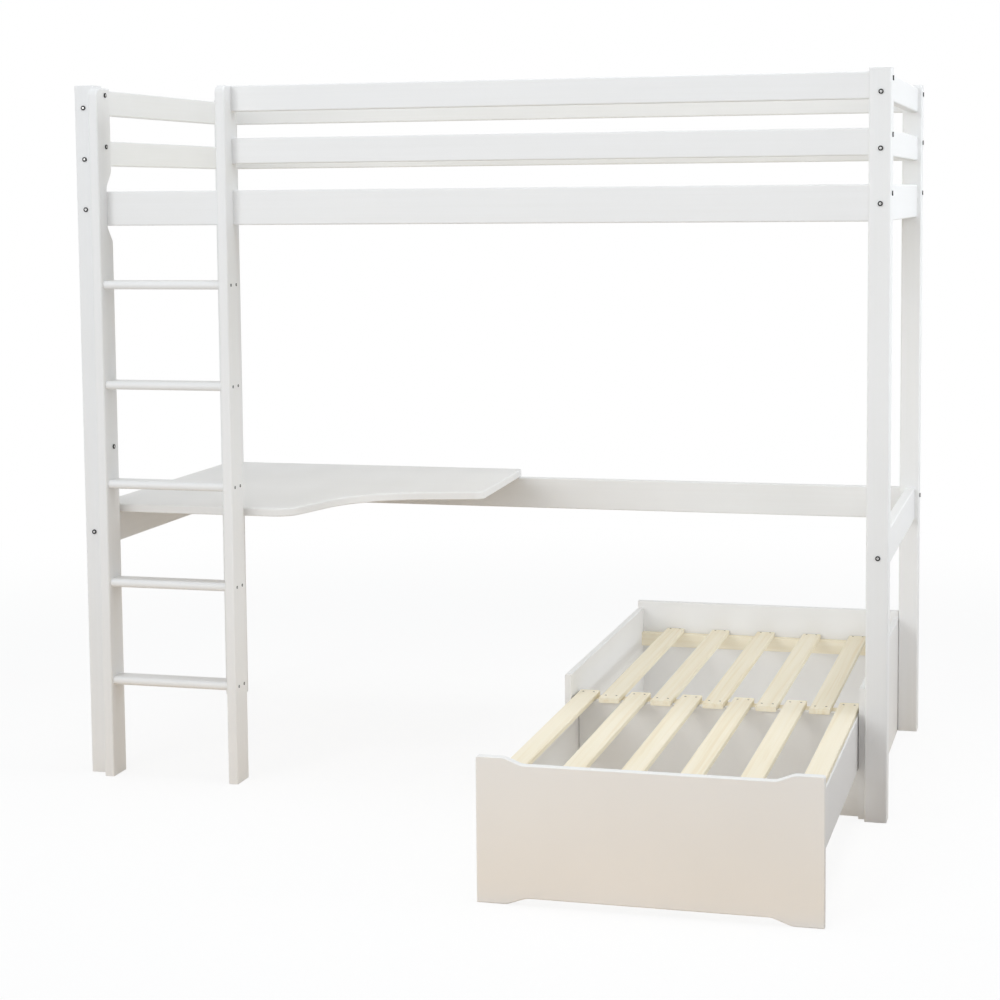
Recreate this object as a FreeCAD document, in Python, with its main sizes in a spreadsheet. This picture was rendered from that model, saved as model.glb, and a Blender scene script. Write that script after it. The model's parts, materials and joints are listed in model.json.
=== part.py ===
import FreeCAD, Part
import os
import re
import Sketcher

# Loft bed of painted pine with an upright ladder, a corner desk and a pull-out day bed.
# Sizes in millimetres. X runs along the bed, Y from the front to the wall, Z up.
# The origin lies on the floor, in the middle of the object as it stands with the day bed pulled out.

sizes = {
    # loft frame
    "bed_length": 2080,
    "bed_depth": 980,
    "bed_height": 1800,
    "post_side": 53,
    "post_round": 4,
    "post_bevel": 2,
    "rail_thickness": 26,
    "rail_inset": 12,
    "rail_round": 4,
    "guard_height": 65,
    "guard_drop": 9,
    "guard_pitch": 131.5,
    "bed_rail_height": 88,
    "lower_rail_height": 88,
    "lower_rail_top": 688,
    # mattress base
    "bed_ledger_side": 25,
    "bed_ledger_lift": 12,
    "bed_slat_width": 70,
    "bed_slat_thickness": 18,
    "bed_slat_end_gap": 26,
    "bed_slat_gap": 2,
    "slat_bevel": 1.5,
    # bolts
    "bolt_diameter": 6,
    "bolt_head_diameter": 12,
    "bolt_head_height": 2.5,
    "bolt_reach": 60,
    "bolt_slack": 0.4,
    "socket_width": 5,
    "socket_depth": 1.8,
    "guard_bolt_shift": 16,
    "wide_bolt_drop": 2,
    "wide_bolt_rise": 22,
    # ladder
    "ladder_width": 374,
    "ladder_lead": 34,
    "stringer_thickness": 26,
    "stringer_shy": 8,
    "stringer_drop": 8,
    "stringer_round": 5,
    "stringer_crown": 20,
    "notch_headroom": 13,
    "notch_foot": 4,
    "notch_slope": 42,
    "notch_round": 10,
    "tread_thickness": 22,
    "tread_depth": 60,
    "tread_round": 10.5,
    "tread_first": 253,
    "tread_pitch": 258.8,
    "ladder_bolt_drop": 17,
    "ladder_bolt_low": 866,
    "ladder_bolt_inset": 14,
    "ladder_bolt_bite": 40,
    # desk
    "desk_thickness": 22,
    "desk_gap": 2,
    "desk_wing": 535,
    "desk_lean": 85,
    "desk_bay_depth": 580,
    "desk_span": 939,
    "desk_end_depth": 499,
    "desk_end_taper": 23,
    "desk_wing_round": 60,
    "desk_bay_round": 270,
    "desk_end_round": 30,
    "desk_edge_round": 5,
    "desk_bevel": 2,
    # day bed, fixed half
    "module_width": 743,
    "module_gap": 0.5,
    "module_setback": 22,
    "module_rear_gap": 34,
    "side_thickness": 16,
    "side_height": 320,
    "back_thickness": 18,
    "back_height": 340,
    "board_round": 3,
    "apron_setback": 22,
    "apron_thickness": 18,
    "slat_seat": 252,
    "slat_width": 50,
    "slat_thickness": 13,
    "ledger_height": 38,
    "ledger_thickness": 22,
    "slat_end_gap": 2,
    # day bed, pull-out half
    "closing_gap": 2,
    "stop_gap": 2,
    "front_thickness": 18,
    "front_height": 320,
    "front_cut": 15,
    "front_bevel": 2,
    "ear_width": 62,
    "ear_run": 38,
    "ear_round": 6,
    "front_curve": 30,
    "arch_height": 15.5,
    "foot_width": 66,
    "foot_run": 44,
    "pull_rail_thickness": 12,
    "pull_rail_height": 132,
    "crossbar_width": 42,
    "crossbar_height": 28,
    "running_gap": 1.5,
    "slide_gap": 0.6,
    "rest_gap": 0.3,
    "slat_side_gap": 5,
    # one overrun for every cut
    "overrun": 5,
}
bed_slat_count = 14
tread_count = 5
fixed_slat_count = 5
moving_slat_count = 6

doc = FreeCAD.newDocument("loft_bed")
sheet = doc.addObject("Spreadsheet::Sheet", "sizes")
for row, (name, value) in enumerate(sizes.items(), 1):
    sheet.set(f"A{row}", name)
    sheet.set(f"B{row}", str(value))
    sheet.setAlias(f"B{row}", name)
doc.recompute()
nodes = []
nearly = 1e-6


def bound(text):
    """An expression over the named sizes, as the document reads it."""
    return re.sub(r"[a-z_]+", lambda word: f"sizes.{word.group(0)}", text)


def number(text):
    return float(sheet.evalExpression(text))


def bind(thing, prop, text):
    thing.setExpression(prop, bound(text))


bolt_hole = "bolt_diameter + bolt_slack"

# Places, written from the left end, the front of the posts and the floor.
stringer_rear = "post_side - stringer_shy"
guard_top = "bed_height - guard_drop"
middle_top = f"{guard_top} - guard_pitch"
bed_rail_top = f"{guard_top} - 2 * guard_pitch"
rail_middle = "rail_inset + rail_thickness / 2"
rail_inner = "rail_inset + rail_thickness"
back_front = "bed_depth - module_rear_gap - back_thickness"
apron_front = "module_setback + apron_setback"
crossbar_front = f"{apron_front} + apron_thickness + stop_gap"
crossbar_rear = f"{crossbar_front} + crossbar_width"
pull_travel = f"({back_front} - ledger_thickness - closing_gap - ({crossbar_rear}))"
board_rear = f"module_setback - closing_gap - {pull_travel}"
board_front = f"{board_rear} - front_thickness"
module_right = "bed_length - post_side - module_gap"
module_left = f"{module_right} - module_width"
bay_left = f"{module_left} + side_thickness"
bay_width = "module_width - 2 * side_thickness"
pull_seat = "slat_seat - slide_gap"
slat_zone = f"({bay_width} - 2 * slat_side_gap)"
slat_zone_left = f"{bay_left} + slat_side_gap"
slat_pitch = f"({slat_zone} - slat_width) / {moving_slat_count - 1}"


def place(x, y, z):
    """The part's own frame, in the middle of the object, from the bed's left, front and floor."""
    return (f"({x}) - bed_length / 2", f"({y}) - (bed_depth + bolt_head_height + ({board_front})) / 2", z)


def new_body(label, spot):
    body = doc.addObject("PartDesign::Body", label)
    body.Label = label
    for axis, text in zip("xyz", place(*spot)):
        bind(body, f"Placement.Base.{axis}", text)
    nodes.append(body)
    return body


def new_sketch(body, role, offset, name):
    sketch = body.newObject("Sketcher::SketchObject", f"{body.Name}_{name}")
    planes = {feature.Role: feature for feature in body.Origin.OriginFeatures}
    sketch.AttachmentSupport = (planes[role], [""])
    sketch.MapMode = "FlatFace"
    if offset:
        bind(sketch, "AttachmentOffset.Base.z", offset)
    return sketch


def pin_point(sketch, geometry, point, spot):
    """Ties one point of a sketch to its two expressions."""
    for kind, text in zip(("DistanceX", "DistanceY"), spot):
        tie = Sketcher.Constraint(kind, -1, 1, geometry, point, number(text))
        bind(sketch, f"Constraints[{sketch.addConstraint(tie)}]", text)


def add_polygon(sketch, corners):
    """A closed polygon whose corners are tied to expressions."""
    first = sketch.GeometryCount
    points = [FreeCAD.Vector(number(x), number(y), 0) for x, y in corners]
    for start, end in zip(points, points[1:] + points[:1]):
        sketch.addGeometry(Part.LineSegment(start, end))
    for index in range(len(points)):
        following = first + (index + 1) % len(points)
        sketch.addConstraint(Sketcher.Constraint("Coincident", first + index, 2, following, 1))
    for index, corner in enumerate(corners):
        pin_point(sketch, first + index, 1, corner)


def outline(body, role, corners, name="outline"):
    sketch = new_sketch(body, role, None, name)
    add_polygon(sketch, corners)
    return sketch


def rectangle(width, height):
    """The corners of a rectangle about the sketch's origin."""
    return [(f"-({width}) / 2", f"-({height}) / 2"), (f"({width}) / 2", f"-({height}) / 2"),
            (f"({width}) / 2", f"({height}) / 2"), (f"-({width}) / 2", f"({height}) / 2")]


def pad(body, sketch, length):
    """Grows a sketch evenly to both sides of its plane."""
    feature = body.newObject("PartDesign::Pad", f"{body.Name}_pad")
    feature.Profile = sketch
    feature.SideType = "Symmetric"
    bind(feature, "Length", length)
    doc.recompute()
    return feature


def edges_where(feature, test):
    return [f"Edge{index}" for index, edge in enumerate(feature.Shape.Edges, 1) if test(edge)]


def runs_along(axis):
    """A test for straight edges parallel to an axis."""
    way = FreeCAD.Vector(*(float(axis == other) for other in "XYZ"))

    def test(edge):
        span = edge.Vertexes[-1].Point - edge.Vertexes[0].Point
        return edge.Curve.TypeId == "Part::GeomLine" and abs(span.normalize().dot(way)) > 0.999
    return test


def dress(body, kind, base, edges, size):
    """Rounds or bevels some edges of the body's last feature."""
    feature = body.newObject(f"PartDesign::{kind}", f"{body.Name}_{kind.lower()}")
    feature.Base = (base, edges)
    bind(feature, "Radius" if kind == "Fillet" else "Size", size)
    doc.recompute()
    return feature


def cut(body, sketch, depth, backwards=False, through=False):
    """Cuts a sketch into the body and makes sure that something was removed."""
    before = body.Shape.Volume
    feature = body.newObject("PartDesign::Pocket", f"{sketch.Name}_pocket")
    feature.Profile = sketch
    if through:
        feature.Type = "ThroughAll"
        feature.SideType = "Symmetric"
    else:
        bind(feature, "Length", depth)
        feature.Reversed = backwards
    doc.recompute()
    if body.Shape.Volume >= before:
        raise RuntimeError(f"{sketch.Name} cuts nothing")
    return feature


# The bolts' hidden shanks and their holes are six-sided, which keeps the meshes light.
slant_share = 0.75 ** 0.5
hexagon_shares = [(1, 0), (0.5, slant_share), (-0.5, slant_share),
                  (-1, 0), (-0.5, -slant_share), (0.5, -slant_share)]


def bore(body, role, side, distance, centres, depth, name):
    """Bolt holes cut into the body from a plane that lies that distance out on one side."""
    sketch = new_sketch(body, role, f"{side} * ({distance})", name)
    for x, y in centres:
        add_polygon(sketch, [(f"{x} + {across} * ({bolt_hole}) / 2", f"{y} + {up} * ({bolt_hole}) / 2")
                             for across, up in hexagon_shares])
    return cut(body, sketch, depth, side < 0)


sections = {"X": "YZ_Plane", "Y": "XZ_Plane", "Z": "XY_Plane"}


def beam(label, axis, width, height, length, spot, edge, kind="Fillet"):
    """A straight bar with rounded or bevelled long edges, about its own middle."""
    body = new_body(label, spot)
    blank = pad(body, outline(body, sections[axis], rectangle(width, height)), length)
    dress(body, kind, blank, edges_where(blank, runs_along(axis)), edge)
    return body


# Each level of rails: its height, its top, and where its bolts lie off its middle,
# in the end rails and in the long rails, so that crossing bolts miss each other in the post.
levels = {
    "top": ("guard_height", guard_top, "-guard_bolt_shift", "guard_bolt_shift"),
    "middle": ("guard_height", middle_top, "-guard_bolt_shift", "guard_bolt_shift"),
    "bed": ("bed_rail_height", bed_rail_top, "-wide_bolt_drop", "wide_bolt_rise"),
    "lower": ("lower_rail_height", "lower_rail_top", "-wide_bolt_drop", "wide_bolt_rise"),
}


def level_middle(level):
    height, top = levels[level][:2]
    return f"{top} - {height} / 2"


def end_bolt_height(level):
    return f"{level_middle(level)} + ({levels[level][2]})"


def long_bolt_height(level):
    return f"{level_middle(level)} + ({levels[level][3]})"


def post(label, left, front, long_levels):
    """One post, with the bolt holes of its end rails and of its long rails."""
    inward_x = 1 if left else -1
    inward_y = 1 if front else -1
    middle_x = "post_side / 2" if left else "bed_length - post_side / 2"
    middle_y = "post_side / 2" if front else "bed_depth - post_side / 2"
    spot = (middle_x, middle_y, "bed_height / 2")
    body = beam(label, "Z", "post_side", "post_side", "bed_height", spot, "post_round")
    top = number("bed_height / 2")
    rim = edges_where(body.Tip, lambda edge: min(point.Z for point in edge.Vertexes) > top - nearly)
    dress(body, "Chamfer", body.Tip, rim, "post_bevel")
    bolt_line = f"{rail_middle} - post_side / 2"
    drillings = (
        ("end", "XZ_Plane", inward_y, inward_x, list(levels), end_bolt_height),
        ("long", "YZ_Plane", -inward_x, inward_y, long_levels, long_bolt_height),
    )
    for name, role, side, inward, wanted, height in drillings:
        centres = [(f"{inward} * ({bolt_line})", f"{height(level)} - bed_height / 2") for level in wanted]
        bore(body, role, side, "post_side / 2", centres, "post_side + overrun", f"{name}_bolt_holes")
    return body


def rail(label, axis, level, length, spot):
    """A rail about its own middle, with a bolt hole in each end."""
    height = levels[level][0]
    bolt_rise = levels[level][2 if axis == "Y" else 3]
    body = beam(label, axis, "rail_thickness", height, length, spot, "rail_round")
    for side, name in ((1, "one_bolt_hole"), (-1, "other_bolt_hole")):
        bore(body, sections[axis], side, f"({length}) / 2", [("0", bolt_rise)], "bolt_reach + overrun", name)
    return body


# Posts
rear_levels = list(levels)
post("front_left_post", True, True, ["bed"])
post("front_right_post", False, True, ["top", "middle", "bed"])
post("rear_left_post", True, False, rear_levels)
post("rear_right_post", False, False, rear_levels)

# End rails, four to each end, between the posts
end_length = "bed_depth - 2 * post_side"
for level in levels:
    height = level_middle(level)
    rail(f"left_end_{level}_rail", "Y", level, end_length, (rail_middle, "bed_depth / 2", height))
    right = f"bed_length - ({rail_middle})"
    rail(f"right_end_{level}_rail", "Y", level, end_length, (right, "bed_depth / 2", height))

# Long rails; the front guard rails stop at the ladder
long_length = "bed_length - 2 * post_side"
guard_length = f"{long_length} - ladder_width"
guard_middle = "bed_length / 2 + ladder_width / 2"
rear_line = f"bed_depth - ({rail_middle})"
for level in ("top", "middle"):
    height = level_middle(level)
    rail(f"front_{level}_guard_rail", "X", level, guard_length, (guard_middle, rail_middle, height))
    rail(f"rear_{level}_guard_rail", "X", level, long_length, ("bed_length / 2", rear_line, height))
rail("front_bed_rail", "X", "bed", long_length, ("bed_length / 2", rail_middle, level_middle("bed")))
rail("rear_bed_rail", "X", "bed", long_length, ("bed_length / 2", rear_line, level_middle("bed")))
rail("rear_lower_rail", "X", "lower", long_length, ("bed_length / 2", rear_line, level_middle("lower")))

# Mattress base: a ledger on each bed rail and slats across
ledger_bottom = f"{bed_rail_top} - bed_rail_height + bed_ledger_lift"
ledger_middle = f"{ledger_bottom} + bed_ledger_side / 2"
front_ledger_line = f"{rail_inner} + bed_ledger_side / 2"
rear_ledger_line = f"bed_depth - ({front_ledger_line})"
for label, line in (("front_bed_ledger", front_ledger_line), ("rear_bed_ledger", rear_ledger_line)):
    beam(label, "X", "bed_ledger_side", "bed_ledger_side", long_length,
         ("bed_length / 2", line, ledger_middle), "slat_bevel", "Chamfer")


def group(label, shapes):
    """Separate solids of one kind as one node, placed in the part's own frame."""
    node = doc.addObject("Part::Feature", label)
    node.Label = label
    node.Shape = Part.makeCompound(shapes)
    node.Placement = FreeCAD.Placement(spot_vector("0", "0", "0"), FreeCAD.Rotation())
    nodes.append(node)


def spot_vector(x, y, z):
    return FreeCAD.Vector(*(number(text) for text in place(x, y, z)))


def bed_vector(x, y, z):
    return FreeCAD.Vector(number(x), number(y), number(z))


def bed_slat(index):
    width, depth = number("bed_slat_width"), number(f"bed_depth - 2 * ({rail_inner} + bed_slat_gap)")
    first = "post_side + bed_slat_end_gap"
    pitch = f"({long_length} - 2 * bed_slat_end_gap - bed_slat_width) / {bed_slat_count - 1}"
    corner = bed_vector(f"{first} + {index} * {pitch}", f"{rail_inner} + bed_slat_gap",
                        f"{ledger_bottom} + bed_ledger_side")
    blank = Part.makeBox(width, depth, number("bed_slat_thickness"), corner)
    return blank.makeChamfer(number("slat_bevel"), [edge for edge in blank.Edges if runs_along("Y")(edge)])


group("bed_slats", [bed_slat(index) for index in range(bed_slat_count)])

# Ladder
notch_bottom = f"{bed_rail_top} - bed_rail_height - notch_foot"
notch_top = f"{bed_rail_top} + notch_headroom"
stringer_top = "bed_height - stringer_drop"
ladder_right = "post_side + ladder_width"


def stringer(label, middle, side, centres):
    """A ladder side, notched round the bed rail, with bolt holes from the side that shows the heads."""
    body = new_body(label, (middle, "0", "0"))
    corners = [
        ("-ladder_lead", "0"), (stringer_rear, "0"),
        (stringer_rear, f"{notch_bottom} - notch_slope"), ("rail_inset", notch_bottom),
        ("rail_inset", notch_top), (stringer_rear, f"{notch_top} + notch_slope"),
        (stringer_rear, stringer_top), ("-ladder_lead", stringer_top),
    ]
    blank = pad(body, outline(body, "YZ_Plane", corners), "stringer_thickness")
    top, front, notch_face = (number(text) for text in (stringer_top, "-ladder_lead", "rail_inset"))

    def is_crown(edge):
        point = edge.Vertexes[0]
        return runs_along("X")(edge) and point.Z > top - nearly and point.Y < front + nearly

    def is_notch_bend(edge):
        return runs_along("X")(edge) and abs(edge.Vertexes[0].Y - notch_face) < nearly

    def is_rim(edge):
        one_side = len({round(point.X, 3) for point in edge.Vertexes}) == 1
        in_notch = any(abs(point.Y - notch_face) < number("notch_round") for point in edge.Vertexes)
        return one_side and not in_notch and max(point.Z for point in edge.Vertexes) > nearly
    dress(body, "Fillet", blank, edges_where(blank, is_crown), "stringer_crown")
    dress(body, "Fillet", body.Tip, edges_where(body.Tip, is_notch_bend), "notch_round")
    dress(body, "Fillet", body.Tip, edges_where(body.Tip, is_rim), "stringer_round")
    bore(body, "YZ_Plane", side, "stringer_thickness / 2", centres,
         "stringer_thickness + overrun", "bolt_holes")
    return body


upper_bolt = f"{guard_top} - ladder_bolt_drop"
post_bolt_heights = [upper_bolt, f"{upper_bolt} - guard_pitch", "ladder_bolt_low"]
post_bolt_spots = [("ladder_bolt_inset", height) for height in post_bolt_heights]
guard_bolt_spots = [(rail_middle, long_bolt_height(level)) for level in ("top", "middle")]
stringer("left_ladder_stringer", "post_side + stringer_thickness / 2", 1, post_bolt_spots)
stringer("right_ladder_stringer", f"{ladder_right} - stringer_thickness / 2", -1, guard_bolt_spots)
bore(doc.front_left_post, "YZ_Plane", 1, "post_side / 2",
     [("ladder_bolt_inset - post_side / 2", f"{height} - bed_height / 2") for height in post_bolt_heights],
     "ladder_bolt_bite + overrun", "ladder_bolt_holes")
for index in range(tread_count):
    spot = ("post_side + ladder_width / 2", "(post_side - stringer_shy - ladder_lead) / 2",
            f"tread_first + {index} * tread_pitch")
    beam(f"ladder_tread_{index + 1}", "X", "tread_depth", "tread_thickness",
         "ladder_width - 2 * stringer_thickness", spot, "tread_round")

# Corner desk, lying on the left end rail and the rear rail at desk height
desk_rear = "bed_depth - rail_inset"
desk_front = "post_side + desk_gap"
desk_corner = "bed_depth - post_side - desk_gap"
desk = new_body("desk_top", ("0", "0", "lower_rail_top + desk_thickness / 2"))
desk_blank = pad(desk, outline(desk, "XY_Plane", [
    ("rail_inset", desk_front), ("rail_inset + desk_wing", desk_front),
    ("rail_inset + desk_wing + desk_lean", f"{desk_rear} - desk_bay_depth"),
    ("rail_inset + desk_span", f"{desk_rear} - desk_end_depth"),
    ("rail_inset + desk_span - desk_end_taper", desk_rear),
    (desk_front, desk_rear), (desk_front, desk_corner), ("rail_inset", desk_corner),
]), "desk_thickness")


def upright_at(x):
    """A test for upright edges at one place along the bed."""
    place_x = number(x)
    return lambda edge: runs_along("Z")(edge) and abs(edge.Vertexes[0].X - place_x) < nearly


for spot_x, radius in (("rail_inset + desk_wing", "desk_wing_round"),
                       ("rail_inset + desk_wing + desk_lean", "desk_bay_round"),
                       ("rail_inset + desk_span", "desk_end_round")):
    dress(desk, "Fillet", desk.Tip, edges_where(desk.Tip, upright_at(spot_x)), radius)


def is_desk_rim(side):
    """A test for the free edges of the desk on its upper or lower face."""
    def test(edge):
        middle = edge.BoundBox.Center
        free = middle.x > number(desk_front) and middle.y < number(desk_corner)
        return free and side * edge.BoundBox.ZMin > nearly and side * edge.BoundBox.ZMax > nearly
    return test


dress(desk, "Fillet", desk.Tip, edges_where(desk.Tip, is_desk_rim(1)), "desk_edge_round")
dress(desk, "Chamfer", desk.Tip, edges_where(desk.Tip, is_desk_rim(-1)), "desk_bevel")


# Day bed, fixed half
def panel(label, normal, width, height, thickness, spot):
    """A board on edge with its upper long edges rounded, standing on the height given by spot."""
    body = new_body(label, spot)
    left, right = f"-({width}) / 2", f"({width}) / 2"
    corners = [(left, "0"), (right, "0"), (right, height), (left, height)]
    blank = pad(body, outline(body, sections[normal], corners), thickness)
    top = number(height) - nearly
    along = "X" if normal == "Y" else "Y"

    def is_upper(edge):
        return runs_along(along)(edge) and edge.Vertexes[0].Z > top
    dress(body, "Fillet", blank, edges_where(blank, is_upper), "board_round")
    return body


side_length = f"{back_front} - module_setback"
side_middle = f"({back_front} + module_setback) / 2"
bay_middle = f"{module_left} + module_width / 2"
panel("module_left_side", "X", side_length, "side_height", "side_thickness",
      (f"{module_left} + side_thickness / 2", side_middle, "0"))
panel("module_right_side", "X", side_length, "side_height", "side_thickness",
      (f"{module_right} - side_thickness / 2", side_middle, "0"))
panel("module_back_board", "Y", "module_width", "back_height", "back_thickness",
      (bay_middle, f"{back_front} + back_thickness / 2", "0"))
beam("module_rear_ledger", "X", "ledger_thickness", "ledger_height", bay_width,
     (bay_middle, f"{back_front} - ledger_thickness / 2", "slat_seat - ledger_height / 2"),
     "slat_bevel", "Chamfer")

apron = new_body("module_apron", (bay_middle, f"{apron_front} + apron_thickness / 2", "0"))
half_bay = f"({bay_width}) / 2"
shoulder = f"{half_bay} - 2 * running_gap - pull_rail_thickness"
rail_bed = f"{pull_seat} - pull_rail_height - rest_gap"
pad(apron, outline(apron, "XZ_Plane", [
    (f"-({half_bay})", "0"), (half_bay, "0"),
    (half_bay, rail_bed), (shoulder, rail_bed), (shoulder, "slat_seat"),
    (f"-({shoulder})", "slat_seat"), (f"-({shoulder})", rail_bed), (f"-({half_bay})", rail_bed),
]), "apron_thickness")
first_slat = f"{slat_zone_left} - ({bay_middle})"
groove = cut(apron, outline(apron, "XZ_Plane", [
    (f"{first_slat} - running_gap", f"{pull_seat} - slide_gap"),
    (f"{first_slat} + slat_width + running_gap", f"{pull_seat} - slide_gap"),
    (f"{first_slat} + slat_width + running_gap", "slat_seat + overrun"),
    (f"{first_slat} - running_gap", "slat_seat + overrun"),
], "slat_groove"), "apron_thickness", False, True)
grooves = apron.newObject("PartDesign::LinearPattern", "module_apron_grooves")
grooves.Originals = [groove]
grooves.Direction = ([item for item in apron.Origin.OriginFeatures if item.Role == "X_Axis"][0], [""])
grooves.Occurrences = moving_slat_count
bind(grooves, "Length", f"{slat_zone} - slat_width")
apron.Tip = grooves
doc.recompute()

fixed_front = "module_setback + slat_end_gap"
fixed_rear = f"{back_front} - slat_end_gap"
for index in range(fixed_slat_count):
    middle = f"{slat_zone_left} + slat_width / 2 + ({index} + 1 / 2) * {slat_pitch}"
    beam(f"fixed_slat_{index + 1}", "Y", "slat_width", "slat_thickness", f"{fixed_rear} - ({fixed_front})",
         (middle, f"({fixed_rear} + {fixed_front}) / 2", "slat_seat + slat_thickness / 2"),
         "slat_bevel", "Chamfer")

# Day bed, pull-out half
front_board = new_body("pull_out_front", (bay_middle, f"{board_rear} - front_thickness / 2", "0"))
half_width = "module_width / 2"
low_cut = "front_height - front_cut"
right_half = [
    ("foot_width", "0"), ("0", "0"), ("0", "front_height"),
    ("ear_width", "front_height"), ("ear_width + ear_run", low_cut),
]
board_corners = [(f"{half_width} - foot_width - foot_run", "arch_height")]
board_corners += [(f"{half_width} - ({inset})", height) for inset, height in right_half]
board_corners += [(f"{inset} - {half_width}", height) for inset, height in reversed(right_half)]
board_corners += [(f"foot_width + foot_run - {half_width}", "arch_height")]
front_blank = pad(front_board, outline(front_board, "XZ_Plane", board_corners), "front_thickness")
outer_edge = number(half_width) - nearly


def is_board_bend(edge):
    return runs_along("Y")(edge) and abs(edge.Vertexes[0].X) < outer_edge


def is_board_corner(edge):
    corner = edge.Vertexes[0]
    return runs_along("Y")(edge) and abs(corner.X) > outer_edge and corner.Z > number(low_cut)


def is_board_rim(edge):
    return len({round(point.Y, 3) for point in edge.Vertexes}) == 1 and edge.BoundBox.ZMax > nearly


dress(front_board, "Fillet", front_blank, edges_where(front_blank, is_board_bend), "front_curve")
dress(front_board, "Fillet", front_board.Tip, edges_where(front_board.Tip, is_board_corner), "ear_round")
dress(front_board, "Chamfer", front_board.Tip, edges_where(front_board.Tip, is_board_rim), "front_bevel")

pull_length = f"{crossbar_rear} - ({board_rear})"
pull_middle = f"({crossbar_rear} + {board_rear}) / 2"
pull_rail_bottom = f"{pull_seat} - pull_rail_height"
pull_rail_shift = f"({bay_width}) / 2 - running_gap - pull_rail_thickness / 2"
for label, side in (("pull_out_left_rail", -1), ("pull_out_right_rail", 1)):
    panel(label, "X", pull_length, "pull_rail_height", "pull_rail_thickness",
          (f"{bay_middle} + {side} * ({pull_rail_shift})", pull_middle, pull_rail_bottom))
between_rails = f"{bay_width} - 2 * (running_gap + pull_rail_thickness)"
beam("pull_out_front_ledger", "X", "ledger_thickness", "ledger_height", between_rails,
     (bay_middle, f"{board_rear} + ledger_thickness / 2", f"{pull_seat} - ledger_height / 2"),
     "slat_bevel", "Chamfer")
beam("pull_out_crossbar", "X", "crossbar_width", "crossbar_height", between_rails,
     (bay_middle, f"{crossbar_rear} - crossbar_width / 2", f"{pull_seat} - crossbar_height / 2"),
     "slat_bevel", "Chamfer")
for index in range(moving_slat_count):
    middle = f"{slat_zone_left} + slat_width / 2 + {index} * {slat_pitch}"
    beam(f"pull_out_slat_{index + 1}", "Y", "slat_width", "slat_thickness", pull_length,
         (middle, pull_middle, f"{pull_seat} + slat_thickness / 2"), "slat_bevel", "Chamfer")


# Bolts
def bolt(length, seat, way):
    """A bolt with a flat socket head that rests on a face, and a shank that points a given way."""
    tall = number("bolt_head_height")
    head = Part.makeCylinder(number("bolt_head_diameter") / 2, tall, FreeCAD.Vector(0, 0, -tall))
    shank = prism(number("bolt_diameter") / 2, 0, number(length))
    socket = prism(number("socket_width") / 3 ** 0.5, -tall, number("socket_depth"))
    solid = head.fuse(shank).cut(socket)
    way, up = FreeCAD.Vector(*way), FreeCAD.Vector(0, 0, 1)
    turn = FreeCAD.Rotation(way.cross(up), up, way, "ZXY")
    solid.Placement = FreeCAD.Placement(bed_vector(*seat), turn)
    return solid


def prism(reach, bottom, tall):
    """A six-sided bar along Z."""
    ring = [FreeCAD.Vector(across * reach, up * reach, bottom) for across, up in hexagon_shares]
    return Part.Face(Part.makePolygon(ring + ring[:1])).extrude(FreeCAD.Vector(0, 0, tall))


through_post = "post_side + bolt_reach"
end_bolts, long_bolts, ladder_bolts = [], [], []
for line in (rail_middle, f"bed_length - ({rail_middle})"):
    for level in levels:
        for face, way in (("0", 1), ("bed_depth", -1)):
            end_bolts.append(bolt(through_post, (line, face, end_bolt_height(level)), (0, way, 0)))
long_ends = [(rear_line, level, way) for level in levels for way in (1, -1)]
front_ends = (("bed", 1), ("bed", -1), ("top", -1), ("middle", -1))
long_ends += [(rail_middle, level, way) for level, way in front_ends]
for line, level, way in long_ends:
    face = "0" if way > 0 else "bed_length"
    long_bolts.append(bolt(through_post, (face, line, long_bolt_height(level)), (way, 0, 0)))
for line, height in guard_bolt_spots:
    face = f"{ladder_right} - stringer_thickness"
    ladder_bolts.append(bolt("stringer_thickness + bolt_reach", (face, line, height), (1, 0, 0)))
for line, height in post_bolt_spots:
    face = "post_side + stringer_thickness"
    ladder_bolts.append(bolt("stringer_thickness + ladder_bolt_bite", (face, line, height), (-1, 0, 0)))
group("end_rail_bolts", end_bolts)
group("long_rail_bolts", long_bolts)
group("ladder_bolts", ladder_bolts)

doc.recompute()
broken = [item.Label for item in doc.Objects if {"Invalid", "Error"} & set(item.State)]
broken += [node.Label for node in nodes if node.Shape.isNull() or not node.Shape.isValid()]
if broken:
    raise RuntimeError("failed: " + ", ".join(broken))
os.makedirs("parts", exist_ok=True)
for node in nodes:
    node.Shape.exportStep(f"parts/{node.Label}.step")
print(len(nodes), "nodes written")
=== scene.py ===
import bmesh
import bpy
import json
import math
from mathutils import Matrix, Vector


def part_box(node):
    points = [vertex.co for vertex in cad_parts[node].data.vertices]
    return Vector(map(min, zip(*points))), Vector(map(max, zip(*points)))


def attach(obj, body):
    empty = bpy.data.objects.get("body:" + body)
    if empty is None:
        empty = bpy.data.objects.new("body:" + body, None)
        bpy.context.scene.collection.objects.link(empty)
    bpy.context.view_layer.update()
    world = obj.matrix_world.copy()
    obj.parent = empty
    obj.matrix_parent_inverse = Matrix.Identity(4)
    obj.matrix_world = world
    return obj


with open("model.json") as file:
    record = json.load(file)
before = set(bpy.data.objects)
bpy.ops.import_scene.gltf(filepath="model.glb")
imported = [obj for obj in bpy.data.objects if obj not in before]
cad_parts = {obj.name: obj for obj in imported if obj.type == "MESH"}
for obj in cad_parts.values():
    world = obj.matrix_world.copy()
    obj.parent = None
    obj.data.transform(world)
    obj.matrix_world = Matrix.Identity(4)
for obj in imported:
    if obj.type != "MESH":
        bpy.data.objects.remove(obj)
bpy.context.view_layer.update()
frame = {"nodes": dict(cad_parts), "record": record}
nodes = frame["nodes"]
print("frame loaded:", len(nodes), "nodes")


def deselectAll():
    if bpy.context.mode != "OBJECT":
        bpy.ops.object.mode_set(mode="OBJECT")
    bpy.ops.object.select_all(action="DESELECT")


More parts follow.
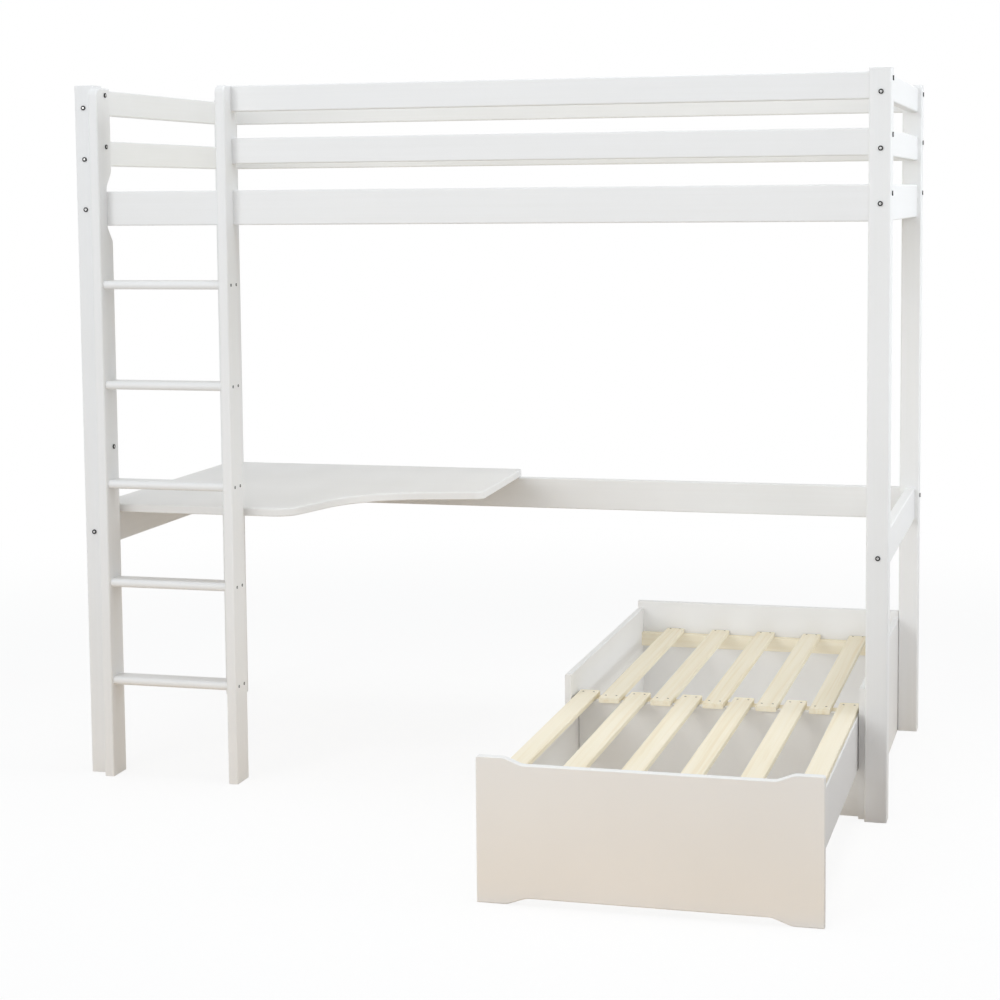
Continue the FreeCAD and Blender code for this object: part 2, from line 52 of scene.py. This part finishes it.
def pick(piece):
    deselectAll()
    piece.select_set(True)
    bpy.context.view_layer.objects.active = piece


# Camera: fitted to the edges of the photo, in metres from the bed's left front corner on the floor
photoCamera = {
    "place": (2.5398, -5.1870, 1.5080),
    "bedCorner": (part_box("front_left_post")[0].x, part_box("front_left_post")[0].y, 0),
    "yaw": 0.26565,  # to the left of straight on
    "pitch": -0.09317,
    "roll": 0.00901,
    "focalPixels": 2184.8,
    "imagePixels": 1000,
    "centrePixel": (500, 400),
    "sensor": 36,
    "clipEnd": 100,
}


def addCamera(cam):
    deselectAll()
    bpy.ops.object.camera_add(location=Vector(cam["place"]) + Vector(cam["bedCorner"]))
    camera = bpy.context.object
    camera.name = "photoCamera"
    turn = Matrix.Rotation(cam["yaw"], 4, "Z")
    tilt = Matrix.Rotation(math.pi / 2 + cam["pitch"], 4, "X")
    lean = Matrix.Rotation(-cam["roll"], 4, "Z")
    camera.rotation_euler = (turn @ tilt @ lean).to_euler()
    camera.data.sensor_width = cam["sensor"]
    camera.data.lens = cam["sensor"] * cam["focalPixels"] / cam["imagePixels"]
    half = cam["imagePixels"] / 2
    camera.data.shift_x = (half - cam["centrePixel"][0]) / cam["imagePixels"]
    camera.data.shift_y = (cam["centrePixel"][1] - half) / cam["imagePixels"]
    camera.data.clip_end = cam["clipEnd"]
    bpy.context.scene.camera = camera


addCamera(photoCamera)
print("camera placed")


# Materials: layers of noise, each with its own stretch along the grain
def newMaterial(name):
    material = bpy.data.materials.new(name)
    material.use_nodes = True
    tree = material.node_tree
    return material, tree, tree.nodes["Principled BSDF"]


def addNode(tree, kind, **sockets):
    node = tree.nodes.new(kind)
    for key, value in sockets.items():
        node.inputs[key].default_value = value
    return node


def noiseLayer(tree, layer, stretch=(1, 1, 1)):
    coords = tree.nodes.new("ShaderNodeTexCoord")
    mapping = addNode(tree, "ShaderNodeMapping", Scale=stretch)
    tree.links.new(coords.outputs["Object"], mapping.inputs["Vector"])
    noise = addNode(tree, "ShaderNodeTexNoise", **layer)
    tree.links.new(mapping.outputs["Vector"], noise.inputs["Vector"])
    return noise.outputs["Fac"]


def alongAxis(axis, along, across):
    return [along if way == axis else across for way in "XYZ"]


def ramp(tree, factor, stops):
    node = tree.nodes.new("ShaderNodeValToRGB")
    elements = node.color_ramp.elements
    while len(elements) < len(stops):
        elements.new(0.5)
    for element, (place, colour) in zip(elements, stops):
        element.position = place
        element.color = (*colour, 1)
    tree.links.new(factor, node.inputs["Fac"])
    return node.outputs["Color"]


roughnessPlaces = (0.3, 0.7)  # where in the noise a roughness starts and ends


def setRoughness(tree, shader, factor, ends):
    stops = [(place, (rough,) * 3) for place, rough in zip(roughnessPlaces, ends)]
    tree.links.new(ramp(tree, factor, stops), shader.inputs["Roughness"])


def bumpFrom(tree, height, bump, normal=None):
    strength, distance = bump
    node = addNode(tree, "ShaderNodeBump", Strength=strength, Distance=distance)
    tree.links.new(height, node.inputs["Height"])
    if normal is not None:
        tree.links.new(normal, node.inputs["Normal"])
    return node.outputs["Normal"]


# each bump is a strength and a depth in metres
paint = {
    "dark": (0.3, (0.83, 0.83, 0.826)),
    "light": (0.62, (0.86, 0.862, 0.865)),
    "roughness": (0.36, 0.5),
    "grainAcross": 130,  # lines of grain to a metre
    "grainAlong": 2.2,
    "grain": {"Scale": 1, "Detail": 4, "Roughness": 0.55, "Distortion": 0.3},
    "cloud": {"Scale": 3.5, "Detail": 3, "Roughness": 0.5},
    "roller": {"Scale": 900, "Detail": 2, "Roughness": 0.6},
    "grainShare": 0.35,  # of the colour, the rest is cloud
    "grainBump": (0.1, 0.0012),
    "rollerBump": (0.06, 0.0004),
    "specular": 0.42,
}


def paintedWood(name, axis):
    material, tree, shader = newMaterial(name)
    grain = noiseLayer(tree, paint["grain"], alongAxis(axis, paint["grainAlong"], paint["grainAcross"]))
    cloud = noiseLayer(tree, paint["cloud"])
    roller = noiseLayer(tree, paint["roller"])
    both = addNode(tree, "ShaderNodeMix", Factor=paint["grainShare"])
    tree.links.new(cloud, both.inputs["A"])
    tree.links.new(grain, both.inputs["B"])
    colour = ramp(tree, both.outputs["Result"], [paint["dark"], paint["light"]])
    tree.links.new(colour, shader.inputs["Base Color"])
    setRoughness(tree, shader, cloud, paint["roughness"])
    shape = bumpFrom(tree, grain, paint["grainBump"])
    tree.links.new(bumpFrom(tree, roller, paint["rollerBump"], shape), shader.inputs["Normal"])
    shader.inputs["Specular IOR Level"].default_value = paint["specular"]
    return material


# Sheet boards take a paint of their own, a little darker, without any grain below it
board = {
    "dark": (0.3, (0.815, 0.81, 0.802)),
    "light": (0.65, (0.845, 0.842, 0.838)),
    "roughness": (0.5, 0.62),
    "cloud": {"Scale": 2.2, "Detail": 3, "Roughness": 0.5},
    "peel": {"Scale": 520, "Detail": 3, "Roughness": 0.55},
    "peelBump": (0.05, 0.0006),
    "specular": 0.35,
}


def paintedBoard(name):
    material, tree, shader = newMaterial(name)
    cloud = noiseLayer(tree, board["cloud"])
    peel = noiseLayer(tree, board["peel"])
    colour = ramp(tree, cloud, [board["dark"], board["light"]])
    tree.links.new(colour, shader.inputs["Base Color"])
    setRoughness(tree, shader, peel, board["roughness"])
    tree.links.new(bumpFrom(tree, peel, board["peelBump"]), shader.inputs["Normal"])
    shader.inputs["Specular IOR Level"].default_value = board["specular"]
    return material


pine = {
    "pale": (0.34, (0.885, 0.82, 0.668)),
    "early": (0.52, (0.855, 0.775, 0.595)),
    "late": (0.68, (0.78, 0.66, 0.44)),
    "roughness": (0.52, 0.68),
    "along": 1.6,
    "across": 85,
    "plankAlong": 0.05,  # keeps the tint of one slat much the same over its length
    "plankAcross": 1,
    "rings": {"Scale": 1, "Detail": 3, "Roughness": 0.5, "Distortion": 0.6},
    "fibre": {"Scale": 7, "Detail": 4, "Roughness": 0.6},
    "plank": {"Scale": 9, "Detail": 1},
    "fibreBump": (0.25, 0.0006),
    "specular": 0.35,
}


def barePine(name, axis):
    material, tree, shader = newMaterial(name)
    stretch = alongAxis(axis, pine["along"], pine["across"])
    rings = noiseLayer(tree, pine["rings"], stretch)
    fibre = noiseLayer(tree, pine["fibre"], stretch)
    plank = noiseLayer(tree, pine["plank"], alongAxis(axis, pine["plankAlong"], pine["plankAcross"]))
    wood = ramp(tree, rings, [pine["pale"], pine["early"], pine["late"]])
    tint = tree.nodes.new("ShaderNodeMix")
    tint.data_type = "RGBA"
    tint.inputs["B"].default_value = (*pine["pale"][1], 1)
    tree.links.new(plank, tint.inputs["Factor"])
    tree.links.new(wood, tint.inputs["A"])
    tree.links.new(tint.outputs["Result"], shader.inputs["Base Color"])
    setRoughness(tree, shader, fibre, pine["roughness"])
    tree.links.new(bumpFrom(tree, fibre, pine["fibreBump"]), shader.inputs["Normal"])
    shader.inputs["Specular IOR Level"].default_value = pine["specular"]
    return material


# the bright spots of a steel are its smoother ones
blackSteel = {
    "colour": (0.012, 0.012, 0.013),
    "bright": (0.045, 0.045, 0.046),
    "roughness": (0.6, 0.42),
    "metallic": 0.3,
}
brightSteel = {
    "colour": (0.62, 0.62, 0.61),
    "bright": (0.8, 0.795, 0.785),
    "roughness": (0.42, 0.25),
    "metallic": 0.85,
}
screwSteel = {
    "colour": (0.07, 0.06, 0.05),
    "bright": (0.2, 0.18, 0.15),
    "roughness": (0.6, 0.35),
    "metallic": 0.7,
}
steelWear = {"Scale": 420, "Detail": 4, "Roughness": 0.65}
steelWearPlaces = (0.45, 0.75)


def wornSteel(name, steel):
    material, tree, shader = newMaterial(name)
    wear = noiseLayer(tree, steelWear)
    stops = list(zip(steelWearPlaces, (steel["colour"], steel["bright"])))
    tree.links.new(ramp(tree, wear, stops), shader.inputs["Base Color"])
    setRoughness(tree, shader, wear, steel["roughness"])
    shader.inputs["Metallic"].default_value = steel["metallic"]
    return material


paints = {axis: paintedWood("whitePaintAlong" + axis, axis) for axis in "XYZ"}
boardFinish = paintedBoard("whiteBoardPaint")
pines = {axis: barePine("barePineAlong" + axis, axis) for axis in "XY"}
boltFinish = wornSteel("blackBoltSteel", blackSteel)
socketFinish = wornSteel("brightSocketSteel", brightSteel)
screwFinish = wornSteel("screwSteel", screwSteel)
sheetBoards = (
    "desk_top", "module_left_side", "module_right_side", "module_back_board", "module_apron",
    "pull_out_front", "pull_out_left_rail", "pull_out_right_rail",
)


def longestAxis(name):
    low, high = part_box(name)
    sides = high - low
    return "XYZ"[max(range(3), key=lambda side: sides[side])]


slotOf = {row["node"]: row["material_slot"] for row in frame["record"]["subparts"]}
for name, node in nodes.items():
    if slotOf[name] == "bolt":
        finish = boltFinish
    elif slotOf[name] == "bare_pine":
        finish = pines["Y" if "slat" in name else "X"]
    elif name in sheetBoards:
        finish = boardFinish
    else:
        finish = paints[longestAxis(name)]
    node.data.materials.clear()
    node.data.materials.append(finish)
print("materials assigned")


# Small fasteners: modelled in millimetres, then scaled to metres
millimetre = 0.001
headShape = {"bevelSegments": 3, "bevelAngle": 50, "smoothAngle": 35}
samePoint = 1e-6  # metres between points that are one
sameFace = 1e-4  # metres from an end face within which a point belongs to it


def solidsOf(name):
    # the points of each separate solid of a node
    mesh = bmesh.new()
    mesh.from_mesh(nodes[name].data)
    bmesh.ops.remove_doubles(mesh, verts=mesh.verts, dist=samePoint)
    left = set(mesh.verts)
    solids = []
    for start in mesh.verts:
        if start not in left:
            continue
        left.discard(start)
        found = [start]
        for vert in found:
            for edge in vert.link_edges:
                other = edge.other_vert(vert)
                if other in left:
                    left.discard(other)
                    found.append(other)
        solids.append([vert.co.copy() for vert in found])
    mesh.free()
    return solids


def corners(points):
    low = Vector([min(point[way] for point in points) for way in range(3)])
    high = Vector([max(point[way] for point in points) for way in range(3)])
    return low, high


def applied(piece, kind, **settings):
    pick(piece)
    modifier = piece.modifiers.new(kind.title(), kind)
    for key, value in settings.items():
        setattr(modifier, key, value)
    bpy.ops.object.modifier_apply(modifier=modifier.name)


def discard(piece):
    pick(piece)
    bpy.ops.object.delete()


def cutAway(piece, cutter):
    applied(piece, "BOOLEAN", object=cutter, operation="DIFFERENCE", solver="EXACT")
    discard(cutter)


def headBlank(head):
    deselectAll()
    bpy.ops.mesh.primitive_cylinder_add(
        vertices=head["sides"], radius=head["radius"], depth=head["height"] + head["sunk"],
        location=(0, 0, (head["height"] - head["sunk"]) / 2))
    blank = bpy.context.object
    bpy.ops.object.transform_apply(location=True, rotation=False, scale=False)
    applied(blank, "BEVEL", width=head["bevel"], segments=headShape["bevelSegments"],
            limit_method="ANGLE", angle_limit=math.radians(headShape["bevelAngle"]))
    return blank


def finishHead(blank):
    pick(blank)
    bpy.ops.transform.resize(value=(millimetre,) * 3, center_override=(0, 0, 0))
    bpy.ops.object.transform_apply(location=True, rotation=True, scale=True)
    bpy.ops.object.shade_smooth_by_angle(angle=math.radians(headShape["smoothAngle"]))
    return blank


def spread(pattern, name, spots, body, finish):
    # copies of one head at each spot, turned to look its way, joined into one piece
    copies = []
    for place, way in spots:
        pick(pattern)
        bpy.ops.object.duplicate()
        copy = bpy.context.object
        copy.rotation_euler = Vector(way).to_track_quat("Z", "Y").to_euler()
        copy.location = place
        copies.append(copy)
    deselectAll()
    for copy in copies:
        copy.select_set(True)
    bpy.context.view_layer.objects.active = copies[0]
    bpy.ops.object.join()
    piece = bpy.context.object
    piece.name = name
    bpy.ops.object.transform_apply(location=True, rotation=True, scale=True)
    piece.data.materials.clear()
    piece.data.materials.append(finish)
    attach(piece, body)


# Bright socket faces on the black bolt heads
socketFace = {
    "sides": 32,
    "radius": 2.8,
    "height": 0.5,
    "sunk": 0.6,
    "bevel": 0.3,
    "keySides": 6,
    "keyRadius": 1.1,
    "keyDepth": 3,
}


def makeSocketFace(face):
    blank = headBlank(face)
    deselectAll()
    bpy.ops.mesh.primitive_cylinder_add(
        vertices=face["keySides"], radius=face["keyRadius"], depth=face["keyDepth"])
    cutAway(blank, bpy.context.object)
    return finishHead(blank)


def boltFaces(name):
    # the middle of each bolt's head, which is its wider end, and the way it looks
    spots = []
    for points in solidsOf(name):
        low, high = corners(points)
        middle = (low + high) / 2
        axis = max(range(3), key=lambda way: high[way] - low[way])
        reach = {}
        for end in (low[axis], high[axis]):
            rim = [point for point in points if abs(point[axis] - end) < sameFace]
            reach[end] = max((point - middle).length for point in rim)
        face = max(reach, key=reach.get)
        way = [0, 0, 0]
        way[axis] = 1 if face > middle[axis] else -1
        middle[axis] = face
        spots.append((middle, way))
    return spots


socketPattern = makeSocketFace(socketFace)
for boltName in ("end_rail_bolts", "long_rail_bolts", "ladder_bolts"):
    spread(socketPattern, boltName + "_sockets", boltFaces(boltName), "bed", socketFinish)
discard(socketPattern)
print("bolt sockets added")

# Cross-head screws of slats and treads
slatScrew = {
    "sides": 24,
    "radius": 2.6,
    "height": 0.3,
    "sunk": 0.5,
    "bevel": 0.2,
    "slot": (3.4, 0.7),
    "slotDepth": 0.45,
    "apart": 13.5,  # to each side of a slat's middle
}
treadScrew = {
    "sides": 24,
    "radius": 4.0,
    "height": 0.4,
    "sunk": 0.6,
    "bevel": 0.28,
    "slot": (5.2, 1.1),
    "slotDepth": 0.6,
    "share": 0.29,  # of the tread's depth, to each side of its middle
}
upward = (0, 0, 1)
rightward = (1, 0, 0)


def makeScrew(screw):
    blank = headBlank(screw)
    length, width = screw["slot"]
    for size in ((length, width), (width, length)):
        deselectAll()
        bpy.ops.mesh.primitive_cube_add(size=1, location=(0, 0, screw["height"]))
        cross = bpy.context.object
        bpy.ops.transform.resize(value=(*size, 2 * screw["slotDepth"]))
        cutAway(blank, cross)
    return finishHead(blank)


def middleDepth(name):
    low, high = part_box(name)
    return (low.y + high.y) / 2


def slatSpots(slats, carriers):
    spots = []
    for slat in slats:
        low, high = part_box(slat)
        for carrier in carriers:
            for side in (-1, 1):
                x = (low.x + high.x) / 2 + side * slatScrew["apart"] * millimetre
                spots.append(((x, middleDepth(carrier), high.z), upward))
    return spots


def loftSlatSpots(ledgers):
    spots = []
    for points in solidsOf("bed_slats"):
        low, high = corners(points)
        for ledger in ledgers:
            spots.append((((low.x + high.x) / 2, middleDepth(ledger), high.z), upward))
    return spots


def treadSpots(treads):
    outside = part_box("right_ladder_stringer")[1].x
    spots = []
    for tread in treads:
        low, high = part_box(tread)
        for side in (-1, 1):
            y = (low.y + high.y) / 2 + side * treadScrew["share"] * (high.y - low.y)
            spots.append(((outside, y, (low.z + high.z) / 2), rightward))
    return spots


def namesLike(start):
    return [name for name in nodes if name.startswith(start)]


slatPattern = makeScrew(slatScrew)
fixedSpots = slatSpots(namesLike("fixed_slat"), ("module_apron", "module_rear_ledger"))
spread(slatPattern, "fixed_slat_screws", fixedSpots, "bed", screwFinish)
movingSpots = slatSpots(namesLike("pull_out_slat"), ("pull_out_front_ledger", "pull_out_crossbar"))
spread(slatPattern, "pull_out_slat_screws", movingSpots, "pull_out", screwFinish)
loftSpots = loftSlatSpots(("front_bed_ledger", "rear_bed_ledger"))
spread(slatPattern, "loft_slat_screws", loftSpots, "bed", screwFinish)
discard(slatPattern)
treadPattern = makeScrew(treadScrew)
spread(treadPattern, "tread_screws", treadSpots(namesLike("ladder_tread")), "bed", boltFinish)
discard(treadPattern)
print("screws added")


# Floor, backdrop and light
studio = {
    "floorSeen": (0.96, 0.96, 0.96),
    "shadowReach": (2.2, 4.5),  # metres from the middle where the floor's shadows fade to white
    "shadowDepth": 0.16,
    "nearReach": (0.9, 2.6),  # metres from the middle over which the near bounce turns into the far one
    "worldLight": 0.76,
    "worldColour": (0.955, 0.98, 1.0),
}
white = (1, 1, 1, 1)
# The camera sees all of these as one plain floor, and the bed gets their tint: the large floor throws back
# darker, warm light near the bed, painted warm shade on its lower parts; pale sheets that glow a little
# lie inside the day bed as painted light;
# a brown one paints shade on the foot of the right post, and a warm one before the front board paints warm
# shade on its lower part
floors = {
    "studioFloor": {
        "size": (60, 60),
        "place": (0, 0, -0.0006),
        # near: a darker, warm bounce colour near the bed, painted warm shade on the bed's lower parts
        "near": (0.63, 0.505, 0.36),
        "far": (0.66, 0.66, 0.66),
        "glow": 0,
    },
    # glowing sheet under the pull-out: painted light inside the day bed
    "frontSheet": {
        "size": (0.68, 0.68),
        "place": (0.615, -0.47, -0.0003),
        "near": (0.9, 0.89, 0.87),
        "glow": 0.2,
    },
    # dark brown sheet by the right posts: painted shade on their feet
    "brownPatch": {
        "size": (0.78, 0.8),
        "place": (1.36, -0.48, -0.0004),
        "near": (0.2, 0.12, 0.05),
        "glow": 0,
    },
    # warm sheet before the front board: painted warm shade on its lower part
    "warmPatch": {
        "size": (1.3, 0.9),
        "place": (0.6, -1.37, -0.0004),
        "near": (0.72, 0.5, 0.25),
        "glow": 0,
    },
    # glowing sheet under the fixed slats: painted light inside the day bed
    "rearSheet": {
        "size": (0.68, 0.9),
        "place": (0.615, 0.4, -0.0003),
        "near": (0.95, 0.95, 0.96),
        "glow": 0.4,
    },
}


def smoothRange(tree, value, fromRange, toRange):
    node = tree.nodes.new("ShaderNodeMapRange")
    node.interpolation_type = "SMOOTHSTEP"
    for key, limit in zip(("From Min", "From Max", "To Min", "To Max"), (*fromRange, *toRange)):
        node.inputs[key].default_value = limit
    tree.links.new(value, node.inputs["Value"])
    return node.outputs["Result"]


def rayKinds(tree, kinds):
    path = tree.nodes.new("ShaderNodeLightPath")
    values = [path.outputs["Is " + kind + " Ray"] for kind in kinds]
    total = values[0]
    for value in values[1:]:
        node = tree.nodes.new("ShaderNodeMath")
        node.operation = "MAXIMUM"
        tree.links.new(total, node.inputs[0])
        tree.links.new(value, node.inputs[1])
        total = node.outputs["Value"]
    return total


def mixedShader(tree, factor, first, second):
    node = tree.nodes.new("ShaderNodeMixShader")
    tree.links.new(factor, node.inputs["Fac"])
    tree.links.new(first, node.inputs[1])
    tree.links.new(second, node.inputs[2])
    return node.outputs["Shader"]


def thrownLight(tree, sheet, reach):
    # what the bed gets from a sheet: its bounce and its glow
    distance = smoothRange(tree, reach, studio["nearReach"], (0, 1))
    bounce = tree.nodes.new("ShaderNodeBsdfDiffuse")
    stops = [(0, sheet["near"]), (1, sheet.get("far", sheet["near"]))]
    tree.links.new(ramp(tree, distance, stops), bounce.inputs["Color"])
    glow = addNode(tree, "ShaderNodeEmission", Color=white, Strength=sheet["glow"])
    thrown = tree.nodes.new("ShaderNodeAddShader")
    tree.links.new(bounce.outputs["BSDF"], thrown.inputs[0])
    tree.links.new(glow.outputs["Emission"], thrown.inputs[1])
    return thrown.outputs["Shader"]


def seenFloor(tree, reach):
    # what the camera gets: a pale floor with the bed's shadow, fading to white
    fade = smoothRange(tree, reach, studio["shadowReach"], (1 - studio["shadowDepth"], 1))
    shaded = addNode(tree, "ShaderNodeBsdfDiffuse", Color=(*studio["floorSeen"], 1))
    backdrop = addNode(tree, "ShaderNodeEmission", Color=white, Strength=1.0)
    return mixedShader(tree, fade, shaded.outputs["BSDF"], backdrop.outputs["Emission"])


def addFloor(name, sheet):
    deselectAll()
    bpy.ops.mesh.primitive_plane_add(size=1, location=sheet["place"])
    floor = bpy.context.object
    floor.name = name
    bpy.ops.transform.resize(value=(*sheet["size"], 1))
    bpy.ops.object.transform_apply(location=True, rotation=True, scale=True)
    material, tree, shader = newMaterial(name + "Paint")
    tree.nodes.remove(shader)
    coords = tree.nodes.new("ShaderNodeTexCoord")
    reach = tree.nodes.new("ShaderNodeVectorMath")
    reach.operation = "LENGTH"
    tree.links.new(coords.outputs["Object"], reach.inputs[0])
    thrown = thrownLight(tree, sheet, reach.outputs["Value"])
    seen = seenFloor(tree, reach.outputs["Value"])
    surface = mixedShader(tree, rayKinds(tree, ("Camera", "Glossy", "Transmission")), thrown, seen)
    tree.links.new(surface, tree.nodes["Material Output"].inputs["Surface"])
    floor.data.materials.append(material)


def addWorld():
    world = bpy.data.worlds.new("studioWorld")
    bpy.context.scene.world = world
    world.use_nodes = True
    tree = world.node_tree
    light = tree.nodes["Background"]
    light.inputs["Color"].default_value = (*studio["worldColour"], 1)
    light.inputs["Strength"].default_value = studio["worldLight"]
    backdrop = addNode(tree, "ShaderNodeBackground", Color=white, Strength=1.0)
    surface = mixedShader(tree, rayKinds(tree, ("Camera", "Glossy")),
                          light.outputs["Background"], backdrop.outputs["Background"])
    tree.links.new(surface, tree.nodes["World Output"].inputs["Surface"])


# power in watts, spread in degrees
softboxes = {
    "rightWindow": {
        "place": (5.0, 0.2, 2.6),
        "aim": (1.04, 0.3, 1.6),
        "size": 1.8,
        "spread": 45,
        "power": 7.4,
        "colour": (0.94, 0.975, 1),
    },
    "frontFill": {
        "place": (-2.2, -5.95, 2.7),
        "aim": (0.25, -0.1, 1.6),
        "size": 3.0,
        "spread": 75,
        "power": 23.5,
        "colour": (0.97, 0.985, 1),
    },
    "rightFill": {
        "place": (3.2, -5.0, 2.6),
        "aim": (1.6, 0.0, 1.5),
        "size": 1.6,
        "spread": 22,
        "power": 0.9,
        "colour": (0.97, 0.985, 1),
    },
    "overhead": {
        "place": (0.9, -0.35, 10.0),
        "aim": (0.7, -0.3, 0.25),
        "size": 3.2,
        "spread": 25,
        "power": 7.2,
        "colour": (1, 1, 1),
    },
}


def addSoftbox(name, box):
    deselectAll()
    bpy.ops.object.light_add(type="AREA", location=box["place"])
    lamp = bpy.context.object
    lamp.name = name
    towards = Vector(box["aim"]) - Vector(box["place"])
    lamp.rotation_euler = towards.to_track_quat("-Z", "Y").to_euler()
    lamp.data.shape = "SQUARE"
    lamp.data.size = box["size"]
    lamp.data.spread = math.radians(box["spread"])
    lamp.data.energy = box["power"]
    lamp.data.color = box["colour"]


for name, sheet in floors.items():
    addFloor(name, sheet)
addWorld()
for name, box in softboxes.items():
    addSoftbox(name, box)
bpy.context.scene.view_settings.view_transform = "Standard"
print("studio lit")

deselectAll()
